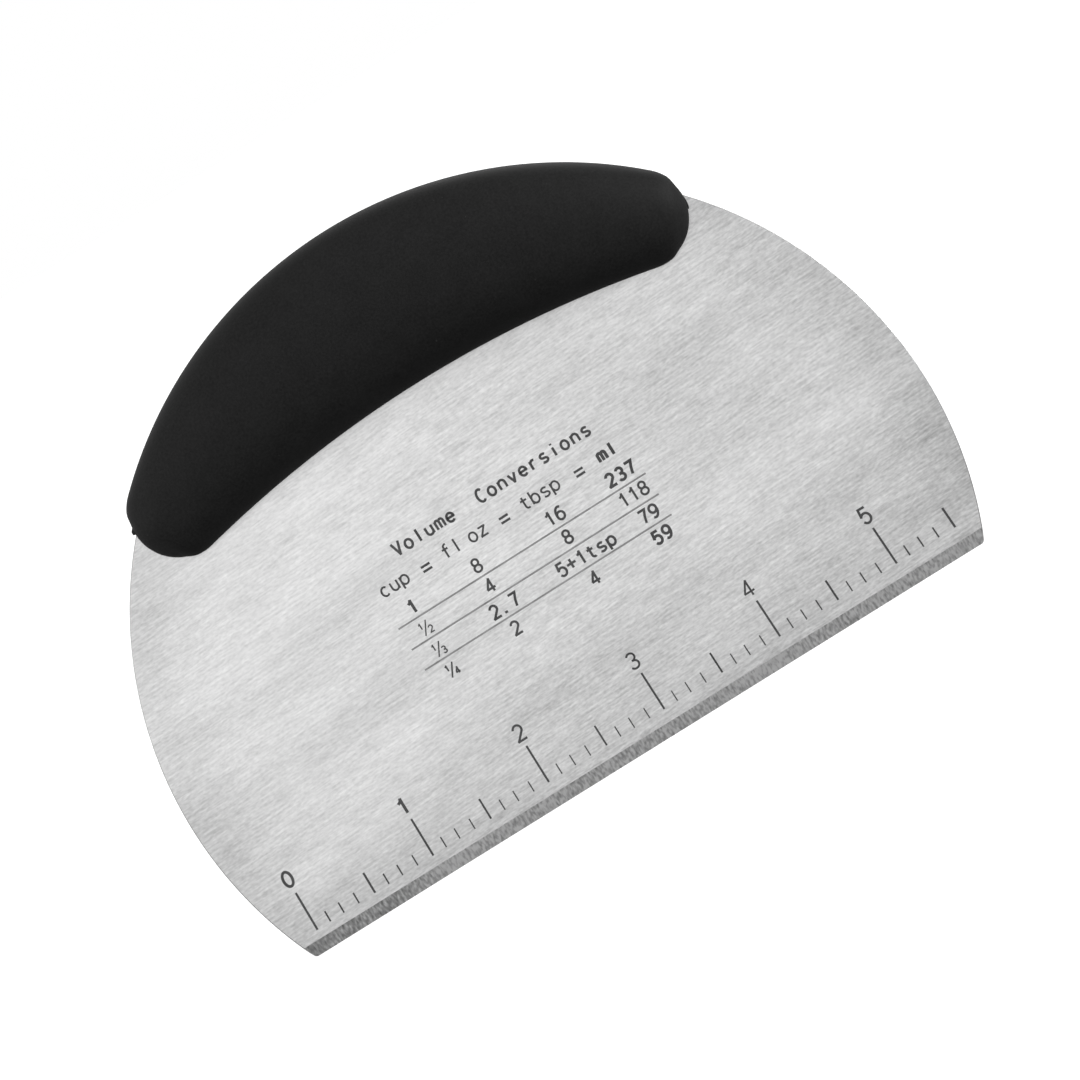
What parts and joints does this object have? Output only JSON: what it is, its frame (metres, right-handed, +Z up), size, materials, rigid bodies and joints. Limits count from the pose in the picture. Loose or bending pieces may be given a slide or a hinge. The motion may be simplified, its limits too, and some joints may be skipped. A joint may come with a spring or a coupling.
{
  "type": "bench scraper",
  "caption": "Half-round steel dough scraper with a straight bevelled working edge, an etched ruler and volume table, and a curved soft grip along its top.",
  "frame": {"origin": "middle of the straight working edge, half-way through the blade's thickness", "axes": "+X along the working edge to the right, +Z up from the edge to the grip, and the bevelled and etched front faces -Y"},
  "size_m": [0.159, 0.022, 0.1137],
  "materials": {
    "blade_steel": "brushed along the working edge",
    "grip_rubber": "matte soft touch",
    "core_plastic": "as moulded",
    "rivet_steel": "plain"
  },
  "bodies": {
    "root": {"blade": "blade_steel", "grip": "grip_rubber", "core_front": "core_plastic", "core_back": "core_plastic", "rivet_far_left": "rivet_steel", "rivet_near_left": "rivet_steel", "rivet_centre": "rivet_steel", "rivet_near_right": "rivet_steel", "rivet_far_right": "rivet_steel"}
  },
  "joints": []
}
